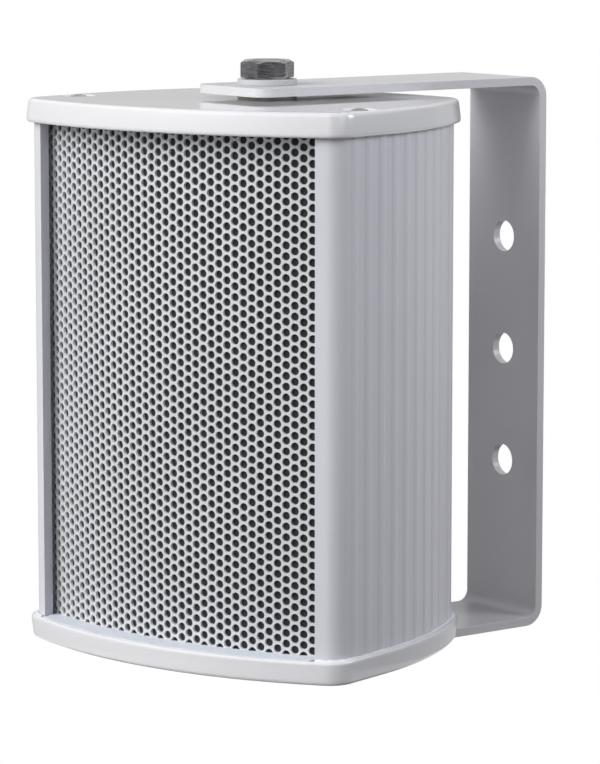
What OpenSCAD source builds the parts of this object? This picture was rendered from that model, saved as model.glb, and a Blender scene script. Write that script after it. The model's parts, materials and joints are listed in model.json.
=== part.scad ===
// Marine column speaker on a swivelling U bracket
// The origin is on the wall face of the bracket's plate, at its middle fixing hole.
// +Y points into the wall, the arms reach out along -Y and +Z is up. Sizes are millimetres.
// The head is drawn with its front apex at x = 0, y = 0 and its back along +Y, and is then
// set on the bolts' axis and turned to its swivel angle.

/* [Bracket] */
// Width of the flat bar
bar_w = 38; // [34:0.5:42]
// Thickness of the flat bar
bar_t = 3; // [2:0.25:4]
// Wall face to the axis of the two bolts
arm_reach = 107; // [98:1:125]
// Axis of the bolts to the free ends of the arms
arm_tip = 17; // [15:0.5:22]
// Inside radius of the two bends
bend_r = 4; // [2:0.5:8]
// Radius of the rounded corners at the arms' ends
tip_r = 6; // [3:0.5:10]
// Diameter of the wall fixing holes
fixing_d = 11; // [7:0.5:13]
// Distance between the wall fixing holes
fixing_pitch = 40; // [30:1:55]

/* [Head outline] */
// Width over the end caps
head_w = 136; // [130:1:146]
// Depth over the end caps, front apex to back
head_d = 115; // [110:1:122]
// Height over the end caps
head_h = 184; // [170:1:260]
// Radius of the bowed front
front_r = 150; // [120:1:220]
// Radius of the front corners
corner_r = 10; // [7:0.5:14]
// Front apex to where the sides begin to curve inwards
side_flat = 40; // [34:1:46]
// Radius of the curved sides
side_r = 130; // [110:1:160]
// Radius of the rear corners
rear_r = 15; // [10:1:22]
// Radius of the bowed back
back_r = 140; // [110:1:200]
// Front apex to the axis of the two bolts
pivot_back = 63.5; // [58:0.5:68]
// Angle that the head is turned to on its bolts
swivel = 15; // [-40:1:40]

/* [End caps] */
// Height of a cap
cap_h = 8; // [7:0.5:12]
// Thickness of a cap over the pocket that takes the cabinet
cap_floor = 3; // [2.5:0.25:4]
// How far a cap stands proud of the cabinet wall
cap_lap = 2; // [1.5:0.1:3.5]
// Clearance between a cap's pocket and what stands in it
seat_gap = 0.3; // [0.2:0.05:0.6]
// Thickness of the gaskets under the caps
gasket_t = 1; // [0.5:0.25:2]
// Distance of the front cap screws from the sides
screw_in = 8.5; // [8.5:0.25:12]
// Distance of the rear cap screw from the back
rear_screw_in = 11; // [10:0.5:14]
// Thread diameter of the cap screws
screw_d = 3.5; // [3:0.1:4]
// Head diameter of the cap screws
screw_head_d = 6.6; // [6:0.1:8]
// Diameter of the dish that a cap screw sits in
dish_d = 12; // [10:0.5:13]
// Depth of that dish
dish_t = 1.2; // [0.6:0.1:1.5]

/* [Cabinet] */
// Wall of the extruded cabinet
wall_t = 2.2; // [1.8:0.1:3]
// Width of the two front posts, beside the window
post_w = 10; // [9.5:0.5:14]
// Thickness of the lips in front of the grille grooves
lip_t = 3.1; // [2:0.1:3.5]
// Distance between the ribs on the sides and back
rib_pitch = 7.3; // [6.5:0.1:12]
// Width of a rib
rib_w = 4.3; // [3:0.1:5]
// Height of a rib
rib_h = 0.42; // [0.2:0.02:0.6]

/* [Grille] */
// Radius of the bowed grille
grille_r = 165; // [150:1:200]
// Front apex of the caps to the front of the grille
grille_back = 10.1; // [8.5:0.1:11]
// Thickness of the perforated sheet
sheet_t = 1; // [0.8:0.1:1.5]
// Diameter of the perforations
hole_d = 2.75; // [1.6:0.05:2.8]
// Distance between perforations in a column
hole_pitch = 3.5; // [3.2:0.05:4.5]
// Thickness of the acoustic cloth behind the sheet
cloth_t = 1; // [0.6:0.1:1.5]

/* [Driver] */
// Clearance between the edges of the acoustic cloth and the baffle
baffle_gap = 2.4; // [1.5:0.1:4]
// Thickness of the baffle
baffle_t = 5; // [4:0.25:5.2]
// Diameter of the driver's rim
driver_d = 102; // [94:1:112]
// Clearance between the driver's rim and the grille's seats beside it
driver_gap = 1; // [0.5:0.25:3]
// Distance across the driver's fixing holes
driver_pcd = 109; // [106:0.5:112]
// Depth of the basket, rim to magnet
basket_h = 25.2; // [23:0.2:30]
// Outside diameter of the magnet
magnet_d = 60; // [56:1:66]
// Thickness of the magnet
magnet_t = 10; // [8:0.5:14]
// Outside diameter of the voice coil's former
former_d = 17.2; // [16.8:0.1:17.6]
// Travel of the cone each way
cone_travel = 2.5; // [1:0.5:2.5]

/* [Bolts] */
// Thread diameter of the two pivot bolts
bolt_d = 10; // [8:1:10]
// Size across the flats of their heads and nuts
bolt_af = 16; // [15:0.5:17]
// Height of their heads
bolt_head_h = 6.4; // [5:0.1:7]
// Length of a bolt under its head
bolt_l = 20; // [19:0.5:24]
// Height of a nut
nut_h = 8; // [6:0.5:8.5]
// Outside diameter of the flat washers
washer_d = 20; // [19:0.5:24]
// Thickness of the washers under the bolt heads
washer_t = 2; // [1:0.25:2.5]
// Thickness of the washer between the upper arm and the head
top_spacer_t = 1.5; // [1:0.25:3]
// Thickness of the washer between the head and the lower arm
bottom_spacer_t = 2.5; // [1:0.25:4]
// Radial running clearance of the bolts in the arms
pivot_gap = 0.05; // [0.02:0.01:0.08]

/* [Cable gland] */
// Thread diameter of the gland
gland_d = 16; // [12:1:16]
// Size across the flats of the gland
gland_af = 20; // [18:0.5:22]
// Diameter of the cable that it clamps
cable_d = 8; // [5:0.5:9]
// Angle of the gland round the back, from the middle
gland_turn = 11.5; // [9:0.5:13]
// Height of the gland below the middle of the head
gland_drop = 50; // [30:1:60]

/* [Transformer] */
// Width of the core
core_w = 36; // [30:1:40]
// Height of the core
core_l = 30; // [26:1:31]
// Depth of the stack of laminations
core_t = 14; // [10:1:16]
// Middle of the head down to the middle of the core
core_drop = 66; // [64:0.5:67]

/* [Hidden] */
$fn = 72;
eps = 0.01;

// Paint and material colours
paint = [0.86, 0.86, 0.87];
steel = [0.72, 0.72, 0.73];
zinc = [0.62, 0.63, 0.65];
black = [0.07, 0.07, 0.08];
soft_white = [0.80, 0.83, 0.88];

// Heights
arm_gap = head_h + top_spacer_t + bottom_spacer_t;
half_gap = arm_gap / 2;
head_top = half_gap - top_spacer_t;
head_bottom = bottom_spacer_t - half_gap;
head_mid = (head_top + head_bottom) / 2;
cabinet_h = head_h - 2 * (cap_floor + gasket_t);
nut_flats = bolt_af + 0.3;

// The outline of the head is a closed run of tangent arcs, [centre, radius, from, to], large and
// small in turn. The small ones stand proud by arc_lap, so that they always meet the large ones.
arc_lap = 0.002;
half_w = head_w / 2;
window_w = head_w - 2 * post_w;
corner_y = front_r - sqrt(pow(front_r - corner_r, 2) - pow(half_w - corner_r, 2));
corner_at = atan2(half_w - corner_r, front_r - corner_y);
side_c = [half_w - side_r, side_flat];
back_c = [0, head_d - back_r];
link = back_c - side_c;
link_l = norm(link);
near_l = (pow(side_r - rear_r, 2) - pow(back_r - rear_r, 2) + link_l * link_l) / (2 * link_l);
off_l = sqrt(pow(side_r - rear_r, 2) - near_l * near_l);
rear_c = side_c + near_l * link / link_l + off_l * [-link.y, link.x] / link_l;
side_at = atan2(rear_c.y - side_c.y, rear_c.x - side_c.x);
rear_at = atan2(rear_c.y - back_c.y, rear_c.x - back_c.x);
right_arcs = [
  [[half_w - corner_r, corner_y], corner_r, corner_at - 90, 0],
  [side_c, side_r, 0, side_at],
  [rear_c, rear_r, side_at, rear_at]
];
function mirrored(a) = [[-a[0].x, a[0].y], a[1], 180 - a[3], 180 - a[2]];
arcs = concat(
  [[[0, front_r], front_r, -90 - corner_at, corner_at - 90]],
  right_arcs,
  [[back_c, back_r, rear_at, 180 - rear_at]],
  [for (i = [2 : -1 : 0]) mirrored(right_arcs[i])]
);
function on_arc(a, inset, t) = a[0] + (a[1] - inset) * [cos(t), sin(t)];
function clear_of(a) = a[1] - (a[1] + 1) / cos((a[3] - a[2]) / 2);

// The sector of an arc, from depth inside it to clear outside it
function sector(a, depth) = [
  on_arc(a, depth, a[2]), on_arc(a, clear_of(a), a[2]), on_arc(a, clear_of(a), a[3]), on_arc(a, depth, a[3])
];

// Ribs stand along the flat of the side, then round the side, the rear corner and the back
skin_r = [for (a = right_arcs) a[1] - cap_lap];
flat_l = side_flat - corner_y;
side_l = skin_r[1] * side_at * PI / 180;
rear_l = skin_r[2] * (rear_at - side_at) * PI / 180;
back_l = (back_r - cap_lap) * (90 - rear_at) * PI / 180;
rib_start = 3;
ribs = floor((flat_l + side_l + rear_l + back_l - rib_start) / rib_pitch + 0.5);
rib_r = (rib_w * rib_w / 4 + rib_h * rib_h) / (2 * rib_h);
function deg(l, r) = l / r * 180 / PI;
function rib_place(s) =
  s < flat_l ? [[half_w - cap_lap, corner_y + s], 0]
  : s < flat_l + side_l ? skin_place(side_c, skin_r[1], deg(s - flat_l, skin_r[1]))
  : s < flat_l + side_l + rear_l
  ? skin_place(rear_c, skin_r[2], side_at + deg(s - flat_l - side_l, skin_r[2]))
  : skin_place(back_c, back_r - cap_lap, rear_at + deg(s - flat_l - side_l - rear_l, back_r - cap_lap));
function skin_place(c, r, t) = [c + r * [cos(t), sin(t)], t];

// The grille is folded into narrow flats, each with a few columns of perforations
col_pitch = hole_pitch * sqrt(3) / 2;
cols_per_flat = 3;
flat_turn = 2 * asin(cols_per_flat * col_pitch / 2 / grille_r);
flats = 2 * floor((window_w / 2 + 1) / (grille_r * flat_turn * PI / 180)) + 1;
groove_in = 3.2;
grille_edge = window_w / 2 + groove_in;
edge_turn = asin(grille_edge / grille_r);
fold_r = grille_r / cos(flat_turn / 2);
cloth_r = fold_r - sheet_t - cloth_t;
seat_r = grille_r - sheet_t - cloth_t - 0.05;
grille_c = [0, grille_back + grille_r];
function fold_point(r, t) = grille_c + r * [sin(t), -cos(t)];
fold_turns = concat(
  [-edge_turn],
  [for (k = [-flats / 2 : flats / 2]) k * flat_turn],
  [edge_turn]
);

// Places along the driver's axis, counted back from the front of its rim
rim_t = 1.2;
driver_gasket_t = 1;
baffle_at = grille_c.y - sqrt(cloth_r * cloth_r - grille_edge * grille_edge) + baffle_gap;
rim_at = baffle_at - driver_gasket_t - rim_t;
basket_r = driver_d / 2 - 7;
seat_z = 16;
gap_r = former_d / 2 + 0.7;
pole_r = former_d / 2 - 0.7;
plate_d = 54;
plate_t = 4;
cone_r = basket_r - 6;
cone_lip = 2.4;
cone_back = 13;
foot_r = former_d / 2 + 0.05;
dome_r = former_d / 2 + 2.2;
dome_h = 3.9;
dome_at = cone_back * (cone_r - cone_lip - dome_r) / (cone_r - cone_lip - foot_r) - 0.05;

// Cap screws and their ports, and the inset and height of a cap's rounded and drafted edge
port_d = screw_d + 0.1;
screw_hole_d = screw_d + 0.4;
screw_reach = 9;
screw_head_h = 1.5;
boss_r = 4;
screw_x = half_w - screw_in;
screw_y = baffle_at + baffle_t + boss_r + 0.4;
cage_wall = 2;
rear_screw_y = head_d - rear_screw_in;
edge_band = 6;
cap_edge = [
  [1.9, 0], [1.2, 0.25], [0.85, 0.9], [0.05, cap_h - 1.4],
  [0.12, cap_h - 0.7], [0.45, cap_h - 0.25], [1.1, cap_h]
];

// Gland, and the distance of the milled flat under it from the centre of the bowed back
gland_spot = 13;
gland_hex_h = 5;
gland_cap_h = 13;
gland_seal_h = 7.4;
locknut_h = 4;
gland_seat = sqrt(pow(back_r - cap_lap, 2) - gland_spot * gland_spot);

// Transformer, its strap and the terminal block
leg = core_w / 6;
coil_out = leg - 0.2;
core_at = coil_out + 0.4;
strap_t = 1;
strap_ear = 8;
block_rise = 70;
block_w = 30;
block_h = 16;
block_t = 12;
block_ear = 8;
block_ear_t = 2.5;
clamp_pitch = 9;
pilot_d = 3.2;
wood_screw_d = 3.1;
wood_head_d = 5.6;
wood_head_h = 1.8;
wood_hole_d = 3.6;

// Placing

module in_head() {
  translate([0, -arm_reach, 0]) rotate([0, 0, swivel]) translate([0, -pivot_back, 0]) children();
}

// Draws a cap, its screws or its gasket at the bottom, or turned over at the top
module at_bottom() {
  in_head() translate([0, 0, head_bottom]) children();
}

module at_top() {
  in_head() translate([0, 0, head_top]) mirror([0, 0, 1]) children();
}

// Turns +Z to the head's back, on the driver's axis
module on_driver_axis() {
  in_head() translate([0, rim_at, head_mid]) rotate([-90, 0, 0]) children();
}

module on_gland_axis() {
  in_head() translate([back_c.x, back_c.y, head_mid - gland_drop]) rotate([0, 0, gland_turn])
    translate([0, gland_seat, 0]) rotate([-90, 0, 0]) children();
}

// Shared shapes

// The head's outline, moved inwards by inset, with true arcs
module outline(inset = 0) {
  polygon([for (a = arcs) for (t = [a[2], a[3]]) on_arc(a, inset, t)]);
  for (i = [0 : 2 : 6])
    intersection() {
      translate(arcs[i][0]) circle(arcs[i][1] - inset);
      polygon(sector(arcs[i], inset + 1));
    }
  for (i = [1 : 2 : 7])
    translate(arcs[i][0]) circle(arcs[i][1] + arc_lap - inset);
}

module ring(outer_r, inner_r, h) {
  linear_extrude(h) difference() {
    circle(outer_r);
    circle(inner_r);
  }
}

module hexagon(flats_w) {
  circle(d = flats_w / cos(30), $fn = 6);
}

module both_sides() {
  children();
  mirror([1, 0, 0]) children();
}

// Places of the three screws in a cap
module at_cap_screws() {
  both_sides() translate([screw_x, screw_y, 0]) children();
  translate([0, rear_screw_y, 0]) children();
}

// Bracket

// A channel lying on its back, open towards -Y
module channel_section(inset, r) {
  back = -inset;
  top = half_gap + bar_t - inset;
  difference() {
    translate([-arm_reach - arm_tip - 1, -top]) square([arm_reach + arm_tip + 1 + back, 2 * top]);
    for (s = [-1, 1])
      translate([back - r, s * (top - r)]) mirror([0, s > 0 ? 0 : 1]) square(r + 1);
  }
  for (s = [-1, 1])
    translate([back - r, s * (top - r)]) circle(r);
}

module mounting_bracket() {
  color(paint) difference() {
    rotate([90, 0, 90]) linear_extrude(bar_w, center = true) difference() {
      channel_section(0, bend_r + bar_t);
      channel_section(bar_t, bend_r);
    }
    translate([0, -arm_reach - arm_tip, 0]) linear_extrude(2 * (half_gap + bar_t + 1), center = true)
      arm_end_waste();
    translate([0, -arm_reach, 0])
      cylinder(r = bolt_d / 2 + pivot_gap, h = 3 * arm_gap, center = true);
    for (k = [-1 : 1])
      translate([0, 0, k * fixing_pitch]) rotate([90, 0, 0])
        cylinder(d = fixing_d, h = 4 * bar_t, center = true);
  }
}

// What is cut away to round the ends of the arms
module arm_end_waste() {
  difference() {
    translate([-bar_w / 2 - 1, -2]) square([bar_w + 2, tip_r + 2]);
    translate([tip_r - bar_w / 2, 0]) square([bar_w - 2 * tip_r, tip_r + 1]);
    both_sides() translate([bar_w / 2 - tip_r, tip_r]) circle(tip_r);
  }
}

// Pivot bolts, washers and nuts

// Seen with the outer face of the arm at z = 0 and the head below
module bolt() {
  translate([0, 0, washer_t]) {
    difference() {
      intersection() {
        linear_extrude(bolt_head_h) rotate(30 - 9) hexagon(bolt_af);
        rotate_extrude() polygon([
          [0, 0], [bolt_af / 2 - 0.4, 0], [bolt_af / 2 - 0.4, 0.4], [bolt_af, 0.4],
          [bolt_af, bolt_head_h - bolt_af * 0.22], [bolt_af * 0.46, bolt_head_h], [0, bolt_head_h]
        ]);
      }
      translate([0, 0, bolt_head_h - 0.3]) cylinder(d = bolt_af * 0.7, h = 1);
    }
    translate([0, 0, -bolt_l]) {
      translate([0, 0, 1]) cylinder(d = bolt_d, h = bolt_l - 1 + eps);
      cylinder(d1 = bolt_d - 2, d2 = bolt_d, h = 1);
    }
  }
}

module on_upper_arm() {
  in_head() translate([0, pivot_back, half_gap + bar_t]) children();
}

module under_lower_arm() {
  in_head() translate([0, pivot_back, -half_gap - bar_t]) mirror([0, 0, 1]) children();
}

module flat_washer(t) {
  ring(washer_d / 2, bolt_d / 2 + 0.25, t);
}

module pivot_nut() {
  translate([0, pivot_back, cap_floor]) difference() {
    linear_extrude(nut_h) hexagon(bolt_af);
    translate([0, 0, -1]) cylinder(r = bolt_d / 2 + pivot_gap, h = nut_h + 2);
  }
}

module top_bolt() { color(steel) on_upper_arm() bolt(); }

module bottom_bolt() { color(steel) under_lower_arm() bolt(); }

module top_washer() { color(soft_white) on_upper_arm() flat_washer(washer_t); }

module bottom_washer() { color(soft_white) under_lower_arm() flat_washer(washer_t); }

module top_spacer() {
  color(zinc) in_head() translate([0, pivot_back, head_top]) flat_washer(top_spacer_t);
}

module bottom_spacer() {
  color(zinc) in_head() translate([0, pivot_back, -half_gap]) flat_washer(bottom_spacer_t);
}

module top_pivot_nut() { color(zinc) at_top() pivot_nut(); }

module bottom_pivot_nut() { color(zinc) at_bottom() pivot_nut(); }

// Cabinet

module rib_line() {
  for (i = [0 : ribs - 1]) {
    place = rib_place(rib_start + i * rib_pitch);
    translate(place[0] - (rib_r - rib_h) * [cos(place[1]), sin(place[1])]) circle(rib_r);
  }
}

// Lips in front of the grille's edges, and the bowed seats behind them
module post_section() {
  both_sides() {
    intersection() {
      outline(cap_lap + wall_t / 2);
      difference() {
        translate([window_w / 2, 0]) square([half_w, front_r / 3]);
        translate([0, front_r]) circle(front_r - cap_lap - lip_t);
      }
    }
    intersection() {
      outline(cap_lap + wall_t / 2);
      translate(grille_c) circle(seat_r);
      translate([driver_d / 2 + driver_gap, grille_back]) square([half_w, baffle_at - grille_back]);
    }
  }
}

module screw_port_section() {
  both_sides() {
    translate([screw_x, screw_y]) circle(boss_r);
    translate([screw_x, screw_y - 2]) square([half_w - screw_x - cap_lap - wall_t / 2, 4]);
  }
  translate([0, rear_screw_y]) circle(boss_r);
  translate([-2, rear_screw_y]) square([4, rear_screw_in - cap_lap - wall_t / 2]);
}

module cabinet_section() {
  difference() {
    union() {
      difference() {
        union() {
          outline(cap_lap);
          both_sides() rib_line();
        }
        outline(cap_lap + wall_t);
        translate([-window_w / 2, -1]) square([window_w, front_r / 4]);
      }
      post_section();
      screw_port_section();
    }
    both_sides() translate([screw_x, screw_y]) circle(d = port_d);
    translate([0, rear_screw_y]) circle(d = port_d);
  }
}

module cabinet_extrusion() {
  color(paint) difference() {
    in_head() translate([0, 0, head_mid - cabinet_h / 2]) linear_extrude(cabinet_h) cabinet_section();
    on_gland_axis() cylinder(r = gland_spot, h = 10);
    on_gland_axis() translate([0, 0, -8]) cylinder(d = gland_d + 0.4, h = 12);
  }
}

// Grille

module fold_band(front, back) {
  in_head() translate([0, 0, head_mid - cabinet_h / 2]) linear_extrude(cabinet_h) polygon(concat(
    [for (t = fold_turns) fold_point(front, t)],
    [for (i = [len(fold_turns) - 1 : -1 : 0]) fold_point(back, fold_turns[i])]
  ));
}

// Every other column is shifted by half a pitch, and its last holes run under the caps' rims
module perforations(f) {
  rows = floor((head_h / 2 - cap_h) / hole_pitch - 0.2);
  for (c = [-1 : 1]) {
    shift = (abs(f * cols_per_flat + c) % 2) / 2;
    for (k = [-rows - 0.5 - shift : rows + 0.5 + shift])
      translate([c * col_pitch, 0, head_mid + k * hole_pitch])
        rotate([90, 0, 0]) cylinder(d = hole_d, h = 4 * sheet_t, center = true);
  }
}

module front_grille() {
  color(paint) difference() {
    fold_band(fold_r, fold_r - sheet_t);
    in_head() for (f = [-(flats - 1) / 2 : (flats - 1) / 2])
      translate(grille_c) rotate(f * flat_turn) translate([0, -grille_r, 0]) perforations(f);
  }
}

module grille_cloth() {
  color(black) fold_band(fold_r - sheet_t, cloth_r);
}

// End caps, drawn with the outer face at z = 0

module cap_edge_section(r, band) {
  polygon(concat([[r - band, 0]], [for (e = cap_edge) [r - e[0], e[1]]], [[r - band, cap_h]]));
}

module cap_blank() {
  linear_extrude(cap_h) outline(edge_band / 2);
  for (i = [0 : 2 : 6])
    intersection() {
      translate(arcs[i][0]) rotate_extrude() cap_edge_section(arcs[i][1], edge_band);
      translate([0, 0, -1]) linear_extrude(cap_h + 2) polygon(sector(arcs[i], edge_band + 1));
    }
  for (i = [1 : 2 : 7])
    translate(arcs[i][0]) rotate_extrude() cap_edge_section(arcs[i][1] + arc_lap, arcs[i][1] + arc_lap);
  both_sides() translate([0, side_flat, 0])
    rotate([90, 0, 0]) linear_extrude(flat_l) cap_edge_section(half_w, edge_band);
}

// The ledge in front of the grille, level with the cap's rim
module ledge_section(gap) {
  difference() {
    translate([gap - window_w / 2, 0]) square([window_w - 2 * gap, grille_back + grille_r / 5]);
    translate(grille_c) circle(fold_r + gap);
  }
}

module nut_cage() {
  translate([0, pivot_back, cap_floor - 0.5]) linear_extrude(nut_h - 1) difference() {
    circle(nut_flats / cos(30) / 2 + cage_wall);
    hexagon(nut_flats);
  }
}

module end_cap() {
  difference() {
    union() {
      difference() {
        cap_blank();
        translate([0, 0, cap_floor]) linear_extrude(cap_h) difference() {
          outline(cap_lap - seat_gap - rib_h);
          ledge_section(seat_gap);
        }
      }
      nut_cage();
    }
    translate([0, pivot_back, -1]) cylinder(r = bolt_d / 2 + 0.2, h = cap_floor + 2);
    at_cap_screws() {
      translate([0, 0, -1]) cylinder(d = screw_hole_d, h = cap_floor + 2);
      translate([0, 0, -eps]) cylinder(d1 = dish_d, d2 = screw_head_d + 0.6, h = dish_t + eps);
    }
  }
}

module top_cap() { color(paint) at_top() end_cap(); }

module bottom_cap() { color(paint) at_bottom() end_cap(); }

module gasket() {
  translate([0, 0, cap_floor]) linear_extrude(gasket_t) difference() {
    outline(cap_lap);
    difference() {
      outline(cap_lap + wall_t + 4);
      translate([-half_w, 0]) square([head_w, baffle_at + baffle_t + 0.5]);
      at_cap_screws() circle(boss_r + 2);
    }
    ledge_section(seat_gap / 2);
    at_cap_screws() circle(d = screw_hole_d);
  }
}

module top_gasket() { color(soft_white) at_top() gasket(); }

module bottom_gasket() { color(soft_white) at_bottom() gasket(); }

// Cap screws with a domed head and a cross recess, drawn with the cap's outer face at z = 0
module cap_screw() {
  r = screw_head_d / 2;
  h = screw_head_h;
  difference() {
    translate([0, 0, dish_t]) {
      rotate_extrude() polygon([
        [0, 0], [r, 0], [r, -h / 3], [r * 0.82, -h * 0.73], [r * 0.52, -h * 0.93], [0, -h]
      ]);
      cylinder(d = screw_d, h = cap_floor + screw_reach);
    }
    for (a = [0, 90]) rotate(a)
      translate([0, 0, dish_t - h * 0.8]) cube([r, r * 0.27, h * 0.8], center = true);
  }
}

module cap_screws() {
  at_cap_screws() cap_screw();
}

module top_cap_screws() { color(steel) at_top() cap_screws(); }

module bottom_cap_screws() { color(steel) at_bottom() cap_screws(); }

// Baffle and driver

module at_driver_holes() {
  for (k = [0 : 3]) rotate(45 + 90 * k) translate([driver_pcd / 2, 0, 0]) children();
}

module baffle() {
  color([0.35, 0.28, 0.2]) difference() {
    in_head() translate([0, 0, head_mid - cabinet_h / 2]) linear_extrude(cabinet_h) intersection() {
      translate([-half_w, baffle_at]) square([head_w, baffle_t]);
      outline(cap_lap + wall_t + seat_gap);
    }
    on_driver_axis() cylinder(r = basket_r + 2.5, h = 20);
    on_driver_axis() at_driver_holes() cylinder(d = pilot_d, h = 20);
    on_baffle_back(core_drop) at_strap_holes() pilot_hole();
    on_baffle_back(-block_rise) at_block_holes() pilot_hole();
  }
}

module pilot_hole() {
  translate([0, 0, -1.5 * baffle_t]) cylinder(d = pilot_d, h = 2 * baffle_t);
}

// The rim and its four ears
module rim_section(inner_r) {
  difference() {
    union() {
      circle(d = driver_d);
      at_driver_holes() circle(4.5);
      for (a = [45, 135]) rotate(a) square([driver_pcd, 9], center = true);
    }
    circle(inner_r);
    at_driver_holes() circle(d = wood_hole_d);
  }
}

module driver_gasket() {
  color(black) on_driver_axis() translate([0, 0, rim_t]) linear_extrude(driver_gasket_t)
    rim_section(basket_r + 2);
}

module driver_basket() {
  rear_r_in = plate_d / 2;
  color(zinc) on_driver_axis() difference() {
    union() {
      linear_extrude(rim_t) rim_section(basket_r);
      rotate_extrude() polygon([
        [basket_r, 0], [basket_r + 1.4, rim_t], [basket_r - seat_z + 2.6, seat_z + 0.2],
        [rear_r_in + 1.2, seat_z + 1.2], [rear_r_in + 1.2, basket_h], [gap_r + 0.5, basket_h],
        [gap_r + 0.5, basket_h - rim_t], [rear_r_in, basket_h - rim_t], [rear_r_in, seat_z + 1.2],
        [rear_r_in - 4, seat_z + 1.2], [rear_r_in - 4, seat_z], [rear_r_in + 1.5, seat_z]
      ]);
    }
    for (a = [0 : 60 : 359]) rotate(a + 15)
      translate([rear_r_in + 9, 0, seat_z / 2 + 1.2]) cube([14, 12, seat_z - 6], center = true);
  }
}

module driver_screws() {
  color(black) on_driver_axis() at_driver_holes() {
    translate([0, 0, -1.8]) rotate_extrude() polygon([
      [0, 0], [1.8, 0.2], [2.8, 0.8], [3, 1.3], [3, 1.8], [0, 1.8]
    ]);
    translate([0, 0, -eps]) cylinder(d = wood_screw_d, h = baffle_t + 1);
  }
}

// Half roll between the cone's edge and the rim
module surround() {
  roll_r = (basket_r - cone_r - 1) / 2;
  mid_r = cone_r + 1 + roll_r;
  color(black) on_driver_axis() rotate_extrude() {
    translate([mid_r, 0]) intersection() {
      difference() {
        circle(roll_r + 0.5);
        circle(roll_r);
      }
      translate([-roll_r - 1, -roll_r - 1]) square([2 * roll_r + 2, roll_r + 1 - 0.05]);
    }
    translate([basket_r + 0.3, -0.6]) square([3, 0.55]);
    translate([cone_r - cone_lip, -0.6]) square([cone_lip + 0.8, 0.55]);
  }
}

module cone() {
  color(black) on_driver_axis() rotate_extrude() polygon([
    [cone_r, 0], [cone_r - cone_lip, 0], [foot_r, cone_back], [foot_r, cone_back + 1.2],
    [foot_r + 1.2, cone_back + 1], [cone_r - 1.9, 0.8], [cone_r, 0.8]
  ]);
}

// Domed, with its edge on the cone
module dust_cap() {
  outside = [[0, 1], [0.35, 0.92], [0.65, 0.69], [0.88, 0.38], [1, 0]];
  inside = [[0.92, 0], [0.82, 0.28], [0.6, 0.54], [0.32, 0.77], [0, 0.85]];
  color(black) on_driver_axis() translate([0, 0, dome_at]) rotate_extrude()
    polygon([for (p = concat(outside, inside)) [p.x * dome_r, -p.y * dome_h]]);
}

// Corrugated ring that centres the coil
module spider() {
  outer = plate_d / 2 - 0.2;
  waves = 4;
  step = (outer - 4 - foot_r) / (2 * waves);
  top = [for (i = [0 : 2 * waves]) [foot_r + i * step, seat_z - 1.2 + i % 2]];
  color([0.75, 0.6, 0.3]) on_driver_axis() rotate_extrude() polygon(concat(
    top, [[outer, seat_z - 0.5], [outer, seat_z]],
    [for (i = [2 * waves : -1 : 0]) top[i] + [0, 0.45]]
  ));
}

module voice_coil() {
  color([0.7, 0.4, 0.2]) on_driver_axis() {
    translate([0, 0, cone_back - 1])
      ring(former_d / 2, former_d / 2 - 0.3, basket_h + plate_t + cone_travel + 1 - cone_back);
    translate([0, 0, basket_h - cone_travel])
      ring(former_d / 2 + 0.35, former_d / 2 - eps, plate_t + 2 * cone_travel - eps);
  }
}

module top_plate() {
  color(zinc) on_driver_axis() translate([0, 0, basket_h]) ring(plate_d / 2, gap_r, plate_t);
}

module magnet() {
  color([0.15, 0.15, 0.16]) on_driver_axis() translate([0, 0, basket_h + plate_t])
    ring(magnet_d / 2, gap_r + 3, magnet_t);
}

module pole_piece() {
  color(zinc) on_driver_axis() {
    translate([0, 0, basket_h + plate_t + magnet_t]) cylinder(d = plate_d, h = plate_t);
    translate([0, 0, basket_h]) cylinder(r = pole_r, h = plate_t + magnet_t + eps);
  }
}

// Line transformer and terminal block, on the back of the baffle

// Turns +Z to the head's back, with x across the head and y down it, from the back of the baffle
module on_baffle_back(drop) {
  in_head() translate([0, baffle_at + baffle_t, head_mid - drop]) rotate([-90, 0, 0]) children();
}

module at_strap_holes() {
  both_sides() translate([core_w / 2 + strap_ear / 2 + strap_t, 0, 0]) children();
}

module at_block_holes() {
  both_sides() translate([(block_w + block_ear) / 2, 0, 0]) children();
}

module transformer_core() {
  color([0.35, 0.35, 0.37]) on_baffle_back(core_drop) translate([0, 0, core_at]) linear_extrude(core_t)
    difference() {
      square([core_w, core_l], center = true);
      both_sides() translate([leg, -core_l / 2 + leg]) square([leg, core_l - 2 * leg]);
    }
}

module transformer_coil() {
  h = core_l - 2 * leg - 0.4;
  color([0.75, 0.7, 0.2]) on_baffle_back(core_drop) difference() {
    translate([0, 0, core_at + core_t / 2]) cube([4 * leg - 0.4, h, core_t + 2 * coil_out], center = true);
    translate([0, 0, core_at + core_t / 2]) cube([2 * leg + 0.2, h + 2, core_t + 0.2], center = true);
  }
}

// A sheet strap bent over the core, with an ear at each foot
module transformer_strap() {
  w = core_w / 2 + 0.1;
  top = core_at + core_t + coil_out + 0.3;
  color(zinc) on_baffle_back(core_drop) difference() {
    rotate([90, 0, 0]) linear_extrude(core_l - 2 * leg - 2, center = true) both_sides() {
      translate([w, 0]) square([strap_t, top + strap_t]);
      translate([w, 0]) square([strap_ear + strap_t, strap_t]);
      translate([-eps, top]) square([w + strap_t, strap_t]);
    }
    at_strap_holes() translate([0, 0, -1]) cylinder(d = wood_hole_d, h = strap_t + 2);
  }
}

module small_screw(seat) {
  translate([0, 0, seat]) {
    cylinder(d = wood_head_d, h = wood_head_h);
    translate([0, 0, -baffle_t]) cylinder(d = wood_screw_d, h = baffle_t + eps);
  }
}

module transformer_screws() {
  color(steel) on_baffle_back(core_drop) at_strap_holes() small_screw(strap_t);
}

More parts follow.
